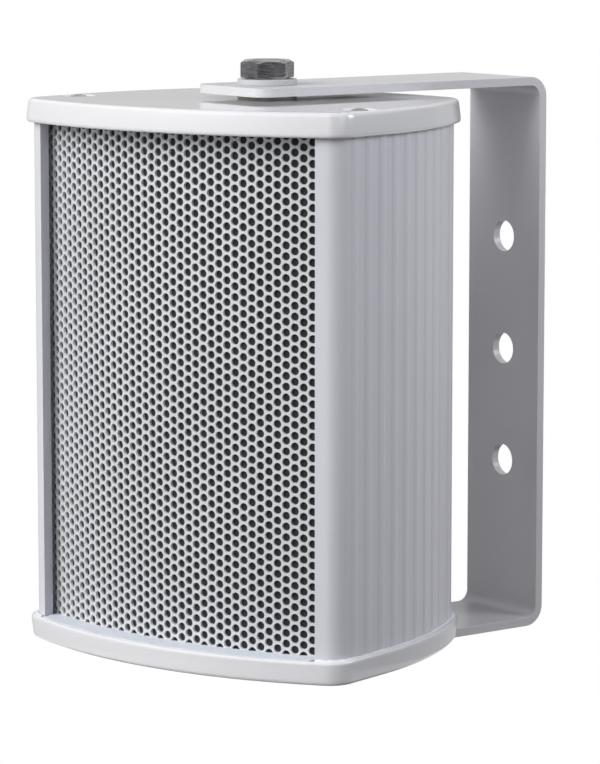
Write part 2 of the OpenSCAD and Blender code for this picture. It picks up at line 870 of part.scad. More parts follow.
module terminal_block() {
  color([0.85, 0.85, 0.8]) on_baffle_back(-block_rise) difference() {
    union() {
      translate([-block_w / 2, -block_h / 2, 0]) cube([block_w, block_h, block_t]);
      translate([-block_w / 2 - block_ear, -4, 0]) cube([block_w + 2 * block_ear, 8, block_ear_t]);
    }
    at_block_holes() translate([0, 0, -1]) cylinder(d = wood_hole_d, h = block_ear_t + 2);
    for (k = [-1 : 1]) translate([k * clamp_pitch, 0, 0]) {
      translate([0, 0, 4]) cylinder(d = 5, h = block_t);
      translate([0, 0, 4.5]) rotate([90, 0, 0]) cylinder(d = 3.4, h = block_h + 2, center = true);
    }
  }
}

module terminal_screws() {
  color(steel) on_baffle_back(-block_rise) at_block_holes() small_screw(block_ear_t);
}

// Cable gland in the back wall, drawn with the milled flat at z = 0

module gland_body() {
  color(black) on_gland_axis() difference() {
    union() {
      linear_extrude(gland_hex_h) hexagon(gland_af);
      translate([0, 0, -wall_t - locknut_h - 2]) cylinder(d = gland_d, h = wall_t + locknut_h + 2 + eps);
      cylinder(d = gland_d - 1.6, h = gland_hex_h + 8);
    }
    translate([0, 0, -20]) cylinder(d = cable_d + 2, h = 40);
    translate([0, 0, gland_hex_h + 1]) cylinder(d = cable_d + 4, h = 20);
  }
}

module gland_seal() {
  color([0.2, 0.2, 0.2]) on_gland_axis() translate([0, 0, gland_hex_h + 1])
    ring(cable_d / 2 + 1.95, cable_d / 2, gland_seal_h);
}

module gland_cap() {
  neck = gland_d / 2 - 0.7;
  rim = gland_af / 2;
  top = gland_hex_h + gland_cap_h;
  color(black) on_gland_axis() difference() {
    union() {
      translate([0, 0, gland_hex_h + 0.3]) linear_extrude(6) hexagon(gland_af);
      rotate_extrude() polygon([
        [0, gland_hex_h + 6], [rim, gland_hex_h + 6], [rim - 0.8, gland_hex_h + 8.6],
        [rim - 3, top - 0.8], [rim - 4.2, top], [0, top]
      ]);
    }
    translate([0, 0, -1]) cylinder(r = neck, h = gland_hex_h + gland_seal_h + 2);
    cylinder(d = cable_d + 1, h = 40);
  }
}

module gland_locknut() {
  color(black) on_gland_axis() translate([0, 0, -wall_t - locknut_h]) difference() {
    linear_extrude(locknut_h) hexagon(gland_af);
    translate([0, 0, -1]) cylinder(d = gland_d + 0.1, h = locknut_h + 2);
  }
}

mounting_bracket();
top_bolt();
bottom_bolt();
top_washer();
bottom_washer();
top_spacer();
bottom_spacer();
top_pivot_nut();
bottom_pivot_nut();
cabinet_extrusion();
front_grille();
grille_cloth();
top_cap();
bottom_cap();
top_gasket();
bottom_gasket();
top_cap_screws();
bottom_cap_screws();
baffle();
driver_gasket();
driver_basket();
driver_screws();
surround();
cone();
dust_cap();
spider();
voice_coil();
top_plate();
magnet();
pole_piece();
transformer_core();
transformer_coil();
transformer_strap();
transformer_screws();
terminal_block();
terminal_screws();
gland_body();
gland_seal();
gland_cap();
gland_locknut();
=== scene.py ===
import json
from math import asin, atan2, ceil, cos, degrees, floor, hypot, pi, radians, sin, sqrt, tan

import bmesh
import bpy
from mathutils import Matrix, Vector


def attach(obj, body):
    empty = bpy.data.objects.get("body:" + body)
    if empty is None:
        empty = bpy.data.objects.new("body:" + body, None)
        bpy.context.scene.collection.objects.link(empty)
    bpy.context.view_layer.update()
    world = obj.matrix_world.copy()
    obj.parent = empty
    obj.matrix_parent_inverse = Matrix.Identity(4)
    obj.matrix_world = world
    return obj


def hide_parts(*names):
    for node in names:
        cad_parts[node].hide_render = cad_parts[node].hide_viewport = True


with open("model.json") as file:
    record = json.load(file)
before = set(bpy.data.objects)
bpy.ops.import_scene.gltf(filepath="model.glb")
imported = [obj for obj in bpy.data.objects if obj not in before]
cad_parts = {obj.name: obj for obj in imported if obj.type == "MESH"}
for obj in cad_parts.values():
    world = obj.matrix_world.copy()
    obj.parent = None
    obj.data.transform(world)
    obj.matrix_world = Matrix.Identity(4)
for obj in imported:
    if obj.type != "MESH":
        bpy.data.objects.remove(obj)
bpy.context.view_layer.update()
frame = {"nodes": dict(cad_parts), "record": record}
nodes = frame["nodes"]
print("frame loaded:", len(nodes), "nodes")

mm = 0.001
tiny = 1e-6

# shader helpers


class Wire:
    # wraps a socket, so that sums and products of wires and numbers add Math nodes
    def __init__(self, tree, socket=None):
        self.tree = tree
        self.socket = socket

    def put(self, kind, settings=None, inputs=None, out=0):
        node = self.tree.nodes.new(kind)
        for key, value in (settings or {}).items():
            setattr(node, key, value)
        for key, value in (inputs or {}).items():
            if isinstance(value, Wire):
                self.tree.links.new(value.socket, node.inputs[key])
            else:
                node.inputs[key].default_value = value
        return Wire(self.tree, node.outputs[out] if len(node.outputs) else None)

    def beside(self, out):  # another output of the same node
        return Wire(self.tree, self.socket.node.outputs[out])

    def calc(self, operation, *others):
        return self.put("ShaderNodeMath", {"operation": operation}, dict(enumerate((self, *others))))

    def __add__(self, other):
        return self.calc("ADD", other)

    def __sub__(self, other):
        return self.calc("SUBTRACT", other)

    def __rsub__(self, other):
        return self.put("ShaderNodeMath", {"operation": "SUBTRACT"}, {0: other, 1: self})

    def __mul__(self, other):
        return self.calc("MULTIPLY", other)

    def __truediv__(self, other):
        return self.calc("DIVIDE", other)

    __radd__ = __add__
    __rmul__ = __mul__

    def noise(self, scale, detail=2, rough=0.5):
        inputs = {"Vector": self, "Scale": scale, "Detail": detail, "Roughness": rough}
        return self.put("ShaderNodeTexNoise", {"noise_dimensions": "3D"}, inputs)

    def stretched(self, x, y, z):
        return self.put("ShaderNodeMapping", None, {"Vector": self, "Scale": (x, y, z)})

    def between(self, low, high, start=0.0, end=1.0):
        inputs = {"Value": self, "From Min": low, "From Max": high, "To Min": start, "To Max": end}
        return self.put("ShaderNodeMapRange", {"clamp": True}, inputs)


    def blend(self, first, second):
        def colour(c):
            return c if isinstance(c, Wire) else (*c, 1)
        inputs = {0: self, 6: colour(first), 7: colour(second)}
        return self.put("ShaderNodeMix", {"data_type": "RGBA"}, inputs, out=2)

    def bump(self, height, strength):
        inputs = {"Height": self, "Distance": height, "Strength": strength}
        return self.put("ShaderNodeBump", None, inputs)


def newMaterial(name):
    material = bpy.data.materials.new(name)
    material.use_nodes = True
    tree = material.node_tree
    tree.nodes.clear()
    place = Wire(tree).put("ShaderNodeTexCoord", None, None, out="Object")
    return material, place


def finishMaterial(material, place, **sockets):
    shader = place.put("ShaderNodeBsdfPrincipled", None, {
        key.replace("_", " "): (*value, 1) if isinstance(value, tuple) else value
        for key, value in sockets.items()
    })
    place.put("ShaderNodeOutputMaterial", None, {"Surface": shader})
    return material


# finishes

# the part of a noise that the tones and the roughness are stretched over
toneRange = (0.35, 0.65)
roughRange = (0.3, 0.7)


def paintedMetal(name, s):
    material, place = newMaterial(name)
    cloud = place.noise(s["cloudScale"], 3)
    peel = place.noise(s["peelScale"], 2, 0.45)
    grain = place.noise(s["grainScale"], 1)
    colour = cloud.between(*toneRange).blend(s["low"], s["high"])
    spread = 0.03
    rough = cloud.between(*roughRange, s["rough"] - spread, s["rough"] + spread) + grain * 0.02
    height = peel * 0.8 + grain * 0.2
    return finishMaterial(material, place, Base_Color=colour, Roughness=rough,
                          Normal=height.bump(s["peelHeight"], s["peelStrength"]),
                          Coat_Weight=s["coat"], Coat_Roughness=s["coatRough"])


def brushedMetal(name, s):
    material, place = newMaterial(name)
    lines = place.stretched(*s["stretch"]).noise(s["lineScale"], 4, 0.6)
    stain = place.noise(s["stainScale"], 3)
    colour = (lines * 0.6 + stain * 0.4).between(*toneRange).blend(s["low"], s["high"])
    spread = 0.08
    rough = lines.between(*roughRange, s["rough"] - spread, s["rough"] + spread)
    return finishMaterial(material, place, Base_Color=colour, Metallic=1.0, Roughness=rough,
                          Normal=lines.bump(s["lineHeight"], s["lineStrength"]))


def mouldedStuff(name, s):
    material, place = newMaterial(name)
    grain = place.noise(s["grainScale"], 3, 0.6)
    cloud = place.noise(s["cloudScale"], 2)
    colour = (cloud * 0.6 + grain * 0.4).between(*toneRange).blend(s["low"], s["high"])
    spread = 0.05
    rough = grain.between(*roughRange, s["rough"] - spread, s["rough"] + spread)
    return finishMaterial(material, place, Base_Color=colour, Roughness=rough,
                          Normal=grain.bump(s["grainHeight"], s["grainStrength"]))


def wovenCloth(name, s):
    material, place = newMaterial(name)
    across = place.put("ShaderNodeSeparateXYZ", None, {"Vector": place}, out="X")
    warp = (across * s["threads"]).calc("SINE")
    weft = (across.beside("Z") * s["threads"]).calc("SINE")
    weave = (warp * weft) * 0.5 + 0.5
    fuzz = place.noise(s["fuzzScale"], 2)
    colour = (weave * 0.7 + fuzz * 0.3).between(0.2, 0.8).blend(s["low"], s["high"])
    return finishMaterial(material, place, Base_Color=colour, Roughness=s["rough"],
                          Normal=weave.bump(s["height"], s["strength"]))


finishes = {
    "white_paint": (paintedMetal, dict(
        low=(0.64, 0.64, 0.66), high=(0.66, 0.66, 0.68), rough=0.36, cloudScale=18, peelScale=420,
        grainScale=2600, peelHeight=0.0001, peelStrength=0.25, coat=0.25, coatRough=0.2)),
    "cabinet_paint": (paintedMetal, dict(
        low=(0.68, 0.68, 0.73), high=(0.7, 0.7, 0.75), rough=0.38, cloudScale=18, peelScale=420,
        grainScale=2600, peelHeight=0.0001, peelStrength=0.15, coat=0.6, coatRough=0.15)),
    "white_gloss": (paintedMetal, dict(
        low=(0.75, 0.75, 0.77), high=(0.77, 0.77, 0.79), rough=0.3, cloudScale=14, peelScale=300,
        grainScale=2200, peelHeight=0.0001, peelStrength=0.05, coat=1.0, coatRough=0.03)),
    "grille_paint": (paintedMetal, dict(
        low=(0.61, 0.62, 0.64), high=(0.64, 0.65, 0.67), rough=0.4, cloudScale=20, peelScale=600,
        grainScale=3000, peelHeight=0.0001, peelStrength=0.2, coat=0.15, coatRough=0.3)),
    "stainless": (brushedMetal, dict(
        low=(0.12, 0.12, 0.13), high=(0.52, 0.52, 0.54), rough=0.14, stretch=(1, 1, 14), lineScale=260,
        stainScale=90, lineHeight=0.0001, lineStrength=0.35)),
    "zinc_plate": (brushedMetal, dict(
        low=(0.44, 0.45, 0.4), high=(0.58, 0.59, 0.54), rough=0.42, stretch=(1, 1, 2), lineScale=500,
        stainScale=120, lineHeight=0.0001, lineStrength=0.3)),
    "pale_washer": (paintedMetal, dict(
        low=(0.5, 0.51, 0.52), high=(0.54, 0.55, 0.56), rough=0.4, cloudScale=60, peelScale=700,
        grainScale=3000, peelHeight=0.0001, peelStrength=0.2, coat=0.1, coatRough=0.3)),
    "pale_gasket": (mouldedStuff, dict(
        low=(0.74, 0.77, 0.85), high=(0.8, 0.83, 0.9), rough=0.55, grainScale=900, cloudScale=60,
        grainHeight=0.0001, grainStrength=0.4)),
    "sealant": (mouldedStuff, dict(
        low=(0.78, 0.78, 0.83), high=(0.86, 0.86, 0.9), rough=0.35, grainScale=500, cloudScale=90,
        grainHeight=0.0001, grainStrength=0.3)),
    "black_rubber": (mouldedStuff, dict(
        low=(0.015, 0.015, 0.016), high=(0.03, 0.03, 0.031), rough=0.6, grainScale=1200, cloudScale=80,
        grainHeight=0.0001, grainStrength=0.4)),
    "black_cloth": (wovenCloth, dict(
        low=(0.012, 0.012, 0.014), high=(0.05, 0.05, 0.055), rough=0.95, threads=9000, fuzzScale=2500,
        height=0.0002, strength=0.6)),
    "black_paper": (mouldedStuff, dict(
        low=(0.02, 0.02, 0.022), high=(0.045, 0.045, 0.048), rough=0.8, grainScale=700, cloudScale=70,
        grainHeight=0.0003, grainStrength=0.6)),
    "woven_spider": (wovenCloth, dict(
        low=(0.42, 0.26, 0.07), high=(0.66, 0.46, 0.17), rough=0.9, threads=7000, fuzzScale=1800,
        height=0.0002, strength=0.6)),
    "copper_wire": (brushedMetal, dict(
        low=(0.6, 0.28, 0.14), high=(0.8, 0.44, 0.26), rough=0.3, stretch=(14, 1, 14), lineScale=400,
        stainScale=80, lineHeight=0.0002, lineStrength=0.5)),
    "ferrite": (mouldedStuff, dict(
        low=(0.04, 0.04, 0.045), high=(0.08, 0.08, 0.085), rough=0.6, grainScale=1500, cloudScale=60,
        grainHeight=0.0002, grainStrength=0.5)),
    "iron_core": (brushedMetal, dict(
        low=(0.12, 0.12, 0.13), high=(0.28, 0.28, 0.3), rough=0.45, stretch=(1, 20, 1), lineScale=200,
        stainScale=60, lineHeight=0.0002, lineStrength=0.5)),
    "winding_tape": (mouldedStuff, dict(
        low=(0.55, 0.45, 0.04), high=(0.75, 0.62, 0.1), rough=0.35, grainScale=300, cloudScale=50,
        grainHeight=0.0002, grainStrength=0.3)),
    "pale_plastic": (mouldedStuff, dict(
        low=(0.66, 0.66, 0.58), high=(0.74, 0.74, 0.67), rough=0.4, grainScale=900, cloudScale=50,
        grainHeight=0.0001, grainStrength=0.3)),
    "black_nylon": (mouldedStuff, dict(
        low=(0.018, 0.018, 0.02), high=(0.035, 0.035, 0.038), rough=0.42, grainScale=1400, cloudScale=90,
        grainHeight=0.0001, grainStrength=0.3)),
    "black_steel": (mouldedStuff, dict(
        low=(0.015, 0.015, 0.016), high=(0.03, 0.03, 0.032), rough=0.35, grainScale=1400, cloudScale=90,
        grainHeight=0.0001, grainStrength=0.2)),
    "fibreboard": (mouldedStuff, dict(
        low=(0.24, 0.15, 0.08), high=(0.4, 0.27, 0.16), rough=0.85, grainScale=1600, cloudScale=240,
        grainHeight=0.0002, grainStrength=0.6)),
}
materials = {name: make(name, settings) for name, (make, settings) in finishes.items()}
slotOf = {part["node"]: part["material_slot"] for part in frame["record"]["subparts"]}
for name, node in nodes.items():
    node.data.materials.clear()
    node.data.materials.append(materials[slotOf[name]])
print("finishes:", len(materials))


# meshes

def addObject(name, mesh, body, slot, replaced, material=None, sharp=32, flats=True):
    mesh.polygons.foreach_set("use_smooth", [True] * len(mesh.polygons))
    mesh.set_sharp_from_angle(angle=radians(sharp))
    if flats:  # keeps large flats flat beside small roundings
        rough = bpy.data.objects.new(name, mesh)
        bpy.context.scene.collection.objects.link(rough)
        even = rough.modifiers.new("even", "WEIGHTED_NORMAL")
        even.weight, even.keep_sharp = 100, True
        mesh = settle(rough)
    mesh.materials.clear()
    mesh.materials.append(materials[material or slot])
    piece = bpy.data.objects.new(name, mesh)
    bpy.context.scene.collection.objects.link(piece)
    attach(piece, body)
    if replaced:
        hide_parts(*replaced)


def settle(piece):  # turns modifiers into a plain mesh
    graph = bpy.context.evaluated_depsgraph_get()
    mesh = bpy.data.meshes.new_from_object(piece.evaluated_get(graph), depsgraph=graph)
    bpy.data.objects.remove(piece)
    return mesh


clean = dict(merge=2e-6, flatWithin=0.4)


def cleanCopy(name):  # a CAD node's loose triangles, merged and with its flats made whole
    mesh = nodes[name].data.copy()
    work = bmesh.new()
    work.from_mesh(mesh)
    bmesh.ops.remove_doubles(work, verts=work.verts, dist=clean["merge"])
    bmesh.ops.dissolve_limit(work, angle_limit=radians(clean["flatWithin"]), verts=work.verts,
                             edges=work.edges)
    work.to_mesh(mesh)
    work.free()
    return mesh


def softened(name, width, segments=3, angle=35):
    piece = bpy.data.objects.new(name, cleanCopy(name))
    bpy.context.scene.collection.objects.link(piece)
    bevel = piece.modifiers.new("bevel", "BEVEL")
    bevel.width = width * mm
    bevel.segments = segments
    bevel.limit_method = "ANGLE"
    bevel.angle_limit = radians(angle)
    bevel.harden_normals = False
    bevel.miter_outer = "MITER_ARC"
    bevel.use_clamp_overlap = True
    return settle(piece)


# head outline, in millimetres

head = dict(width=136, depth=115, frontRadius=150, cornerRadius=10, sideFlat=40, sideRadius=130,
            rearRadius=15, backRadius=140, pivotBack=63.5, swivel=15, armReach=107, top=92.5, bottom=-91.5,
            middle=0.5)

toRow = (Matrix.Translation((0, -head["armReach"] * mm, 0)) @ Matrix.Rotation(radians(head["swivel"]), 4, "Z")
         @ Matrix.Translation((0, -head["pivotBack"] * mm, 0)))


def outlineArcs(h):
    halfWidth = h["width"] / 2
    fromCorner = h["frontRadius"] - h["cornerRadius"]
    cornerX = halfWidth - h["cornerRadius"]
    cornerY = h["frontRadius"] - sqrt(fromCorner ** 2 - cornerX ** 2)
    cornerAt = degrees(atan2(cornerX, h["frontRadius"] - cornerY))
    side = Vector((halfWidth - h["sideRadius"], h["sideFlat"]))
    back = Vector((0, h["depth"] - h["backRadius"]))
    link = back - side
    near = ((h["sideRadius"] - h["rearRadius"]) ** 2 - (h["backRadius"] - h["rearRadius"]) ** 2
            + link.length ** 2) / (2 * link.length)
    off = sqrt((h["sideRadius"] - h["rearRadius"]) ** 2 - near ** 2)
    unit = link.normalized()
    rear = side + near * unit + off * Vector((-unit.y, unit.x))
    sideAt = degrees(atan2(rear.y - side.y, rear.x - side.x))
    rearAt = degrees(atan2(rear.y - back.y, rear.x - back.x))
    front = Vector((0, h["frontRadius"]))
    return [
        (front, h["frontRadius"], -90, cornerAt - 90),
        (Vector((cornerX, cornerY)), h["cornerRadius"], cornerAt - 90, 0),
        (side, h["sideRadius"], 0, sideAt),
        (rear, h["rearRadius"], sideAt, rearAt),
        (back, h["backRadius"], rearAt, 90),
    ]


arcs = outlineArcs(head)


def around(centre, radius, angle):
    return (centre.x + radius * cos(radians(angle)), centre.y + radius * sin(radians(angle)))


# where the corner ends and the straight side starts
flatFrom = arcs[1][0].y
flatSteps = 12


def halfOutline(inset, step=1.3, startX=0):
    # the right half, from the front (at startX) to the middle of the back: points and outward normals
    points = []
    for centre, radius, start, end in arcs:
        if startX and start == -90:
            start = degrees(asin(startX / (radius - inset))) - 90
        count = max(3, ceil(radians(end - start) * radius / step))
        if start == 0:
            flat = head["sideFlat"] - flatFrom
            points += [((head["width"] / 2 - inset, flatFrom + k / flatSteps * flat), (1, 0))
                       for k in range(1, flatSteps)]
        for k in range(count + 1):
            angle = start + (end - start) * k / count
            if k == 0 and points and start != 0:
                continue
            normal = (cos(radians(angle)), sin(radians(angle)))
            points.append((around(centre, radius - inset, angle), normal))
    return points


def wholeOutline(inset, step=1.3):
    right = [p for p, n in halfOutline(inset, step)]
    return right + [(-x, y) for x, y in reversed(right[1:-1])]


def prism(points, low, high):  # a closed solid from a flat outline
    work = bmesh.new()
    rings = [[work.verts.new((x * mm, y * mm, z * mm)) for x, y in points] for z in (low, high)]
    work.faces.new(reversed(rings[0]))
    work.faces.new(rings[1])
    for k in range(len(points)):
        n = (k + 1) % len(points)
        work.faces.new((rings[0][k], rings[0][n], rings[1][n], rings[1][k]))
    bmesh.ops.recalc_face_normals(work, faces=work.faces)
    return work


def skinRings(work, rings, closed=True):  # quads from ring to ring, and a face at either end
    for low, high in zip(rings, rings[1:]):
        for k in range(len(low)):
            n = (k + 1) % len(low)
            work.faces.new((low[k], low[n], high[n], high[k]))
    if closed:
        work.faces.new(reversed(rings[0]))
        work.faces.new(rings[-1])


def lathe(profile, steps=48):  # [radius, height] from bottom axis to top axis, closed
    work = bmesh.new()
    turns = [2 * pi * k / steps for k in range(steps)]
    rings = []
    for r, z in profile:
        if r < tiny:
            rings.append([work.verts.new((0, 0, z * mm))])
        else:
            rings.append([work.verts.new((r * mm * cos(a), r * mm * sin(a), z * mm)) for a in turns])
    for low, high in zip(rings, rings[1:]):
        for k in range(steps):
            n = (k + 1) % steps
            corners = [low[k % len(low)], low[n % len(low)], high[n % len(high)], high[k % len(high)]]
            corners = [c for i, c in enumerate(corners) if c not in corners[:i]]
            if len(corners) > 2:
                work.faces.new(corners)
    bmesh.ops.recalc_face_normals(work, faces=work.faces)
    return work


def meshOf(work, name):
    mesh = bpy.data.meshes.new(name)
    work.to_mesh(mesh)
    work.free()
    return mesh


def temporary(work, name="cutter"):
    piece = bpy.data.objects.new(name, meshOf(work, name))
    bpy.context.scene.collection.objects.link(piece)
    return piece


def cutAway(blank, cutters):
    for cutter in cutters:
        cut = blank.modifiers.new("cut", "BOOLEAN")
        cut.operation, cut.solver, cut.object = "DIFFERENCE", "EXACT", cutter
    mesh = settle(blank)
    for cutter in cutters:
        bpy.data.objects.remove(cutter)
    return mesh


# end caps

cap = dict(height=8, floor=3, lap=2, inside=0.06, seatGap=0.3, ribHeight=0.42, screwX=59.5, screwY=35.76,
           rearScrewIn=11, screwHole=3.9, dish=12, dishDepth=1.2, headHole=7.2, boltHole=10.4,
           drillFrom=-1, drillTo=5, pocketOver=2,
           # the edge's inset and height, from the outer face to the seam
           edge=[(4.0, 0), (2.3, 0.02), (1.75, 0.09), (1.3, 0.26), (0.98, 0.52), (0.78, 0.9), (0.62, 1.5),
                 (0.4, 3), (0.16, 5), (0.02, 6.4), (0.0, 6.9), (0.06, 7.3), (0.2, 7.6), (0.4, 7.84),
                 (0.66, 7.97), (0.95, 8)],
           # a screw dish's profile, outward from its rim and down
           bowl=[(0.6, -1), (0.5, 0), (0, 0.1), (-0.5, 0.3), (-1.5, 0.82), (-2.1, 1.08)])
# foldRise is how far the folded CAD sheet reaches past the bow
grille = dict(bow=165, back=10.1, sheet=1, hole=2.75, soft=0.06, pitch=3.5, window=116, sides=12, columns=41,
              rows=49, foldRise=0.06, behindPost=3.2, merge=0.02, endParts=80, sideParts=2)


def bowArc(reach, edgeX, steps=20):  # along the sheet's bow, from the left of the window to the right
    centre, turn = grille["back"] + grille["bow"], asin(edgeX / reach)
    return [(reach * sin(turn * k / steps), centre - reach * cos(turn * k / steps))
            for k in range(-steps, steps + 1)]


def capMesh(isTop):
    outline = [wholeOutline(inset + cap["inside"]) for inset, z in cap["edge"]]
    work = bmesh.new()
    skinRings(work, [[work.verts.new((x * mm, y * mm, z * mm)) for x, y in ring]
                     for ring, (inset, z) in zip(outline, cap["edge"])])
    bmesh.ops.recalc_face_normals(work, faces=work.faces)
    blank = temporary(work, "capBlank")
    # the pocket goes round the ledge in front of the grille
    edgeX = grille["window"] / 2 - cap["seatGap"]
    right = [p for p, n in halfOutline(cap["lap"] - cap["seatGap"] - cap["ribHeight"], startX=edgeX)]
    pocket = right + [(-x, y) for x, y in reversed(right[:-1])]
    pocket += bowArc(grille["bow"] + grille["foldRise"] + cap["seatGap"], edgeX)
    cutters = [temporary(prism(pocket, cap["floor"], cap["height"] + cap["pocketOver"]))]
    low, high = cap["drillFrom"], cap["drillTo"]
    drill = [(0, low), (cap["boltHole"] / 2, low), (cap["boltHole"] / 2, high), (0, high)]
    bowl = [(0, low)] + [(cap["dish"] / 2 + out, z) for out, z in cap["bowl"]]
    bowl += [(cap["headHole"] / 2, cap["dishDepth"]), (cap["screwHole"] / 2, cap["dishDepth"]),
             (cap["screwHole"] / 2, high), (0, high)]
    rearY = head["depth"] - cap["rearScrewIn"]
    for profile, x, y in ((drill, 0, head["pivotBack"]), (bowl, cap["screwX"], cap["screwY"]),
                          (bowl, -cap["screwX"], cap["screwY"]), (bowl, 0, rearY)):
        cutters.append(temporary(lathe(profile)))
        cutters[-1].location = (x * mm, y * mm, 0)
    mesh = cutAway(blank, cutters)
    if isTop:
        mesh.transform(Matrix.Translation((0, 0, head["top"] * mm)) @ Matrix.Diagonal((1, 1, -1, 1)))
        mesh.flip_normals()
    else:
        mesh.transform(Matrix.Translation((0, 0, head["bottom"] * mm)))
    mesh.transform(toRow)
    return mesh


for side in ("top", "bottom"):
    addObject(side + "Cap", capMesh(side == "top"), "head", "white_gloss", [side + "_cap"], sharp=25)
print("caps made")


# cabinet

cabinet = dict(lap=2.6, wall=1.6, lip=3.8, seatIn=6, baffleAt=26.36, cloth=1, height=176, seatEase=0.05,
               ribStart=3, ribPitch=7.3, ribWidth=4.3, ribHeight=0.42,
               skinStep=0.25, flatStep=0.2, innerStep=1.0, seatSteps=8, lipSteps=6)


def skinWithRibs(c):
    # follows the outline from the window's edge to the middle of the back, and swells at each rib
    ribRadius = (c["ribWidth"] ** 2 / 4 + c["ribHeight"] ** 2) / (2 * c["ribHeight"])
    fine = halfOutline(c["lap"], c["skinStep"], grille["window"] / 2)
    flatCount = int((head["sideFlat"] - flatFrom) / c["flatStep"])
    flat = [((head["width"] / 2 - c["lap"], flatFrom + k * c["flatStep"]), (1, 0))
            for k in range(1, flatCount)]
    front = [f for f in fine if f[0][1] < flatFrom + tiny]
    rest = [f for f in fine if f[0][1] >= head["sideFlat"] - tiny]
    path = front + flat + rest
    # lengths run from where the straight side starts, and the front post has none
    length, travelled = 0.0, []
    for k, (p, n) in enumerate(path):
        if k >= len(front):
            length += hypot(p[0] - path[k - 1][0][0], p[1] - path[k - 1][0][1])
        travelled.append(length if k >= len(front) else -1)
    count = floor((length - c["ribStart"]) / c["ribPitch"] + 0.5)
    points = []
    for (p, n), s in zip(path, travelled):
        rib = min(max(round((s - c["ribStart"]) / c["ribPitch"]), 0), count - 1)
        off = s - c["ribStart"] - rib * c["ribPitch"]
        swell = 0
        if s >= 0 and abs(off) < c["ribWidth"] / 2:
            swell = max(sqrt(ribRadius ** 2 - off ** 2) - (ribRadius - c["ribHeight"]), 0)
        points.append((p[0] + n[0] * swell, p[1] + n[1] * swell))
    return points


def onCircle(x, centre, radius):  # the front of a circle round a point of the middle plane
    return (x, centre - sqrt(radius ** 2 - x ** 2))


def cabinetMesh(c):
    right = skinWithRibs(c)
    outer = right + [(-x, y) for x, y in reversed(right[:-1])]
    edge, seatX = grille["window"] / 2, grille["window"] / 2 - c["seatIn"]
    inner = [p for p, n in halfOutline(c["lap"] + c["wall"], c["innerStep"])]
    frontCentre, foldCentre = head["frontRadius"], grille["back"] + grille["bow"]
    lipBack = head["frontRadius"] - c["lap"] - c["lip"]
    seatFront = grille["bow"] + grille["foldRise"] - grille["sheet"] - c["cloth"] - c["seatEase"]
    # the inner wall beside the sheet, between lip and seat, and the wall behind the baffle
    beside = [p for p in inner if p[0] > edge and hypot(p[0], p[1] - frontCentre) < lipBack
              and hypot(p[0], p[1] - foldCentre) > seatFront and p[1] < c["baffleAt"]]
    behind = [p for p in inner if p[1] > c["baffleAt"]]
    seat = [(behind[0][0], c["baffleAt"]), (seatX, c["baffleAt"])]
    seat += [onCircle(seatX + (beside[-1][0] - seatX) * k / c["seatSteps"], foldCentre, seatFront)
             for k in range(c["seatSteps"] + 1)]
    lip = [onCircle(beside[0][0] + (edge - beside[0][0]) * k / c["lipSteps"], frontCentre, lipBack)
           for k in range(c["lipSteps"] + 1)]
    inside = list(reversed(behind)) + seat + list(reversed(beside)) + lip
    innerRun = [(-x, y) for x, y in reversed(inside)] + inside[1:]
    return prism(outer + innerRun, head["middle"] - c["height"] / 2, head["middle"] + c["height"] / 2)


blank = temporary(cabinetMesh(cabinet), "cabinetBlank")
gland = dict(turn=11.5, drop=50, spot=13, hole=16.4, holeFrom=-8, spotTo=10, steps=64)
# the gland's flat lies where the CAD wall has it
glandSeat = sqrt((head["backRadius"] - cap["lap"]) ** 2 - gland["spot"] ** 2)
glandAt = (0, (head["depth"] - head["backRadius"]) * mm, (head["middle"] - gland["drop"]) * mm)
toGland = (Matrix.Translation(glandAt)
           @ Matrix.Rotation(radians(gland["turn"]), 4, "Z") @ Matrix.Translation((0, glandSeat * mm, 0))
           @ Matrix.Rotation(radians(-90), 4, "X"))
profile = [(0, gland["holeFrom"]), (gland["hole"] / 2, gland["holeFrom"]), (gland["hole"] / 2, 0),
           (gland["spot"], 0), (gland["spot"], gland["spotTo"]), (0, gland["spotTo"])]
cutter = temporary(lathe(profile, gland["steps"]))
cutter.data.transform(toGland)
mesh = cutAway(blank, [cutter])
mesh.transform(toRow)
addObject("cabinetShell", mesh, "head", "white_paint", ["cabinet_extrusion"], "cabinet_paint", sharp=24)
print("cabinet made")


# grille

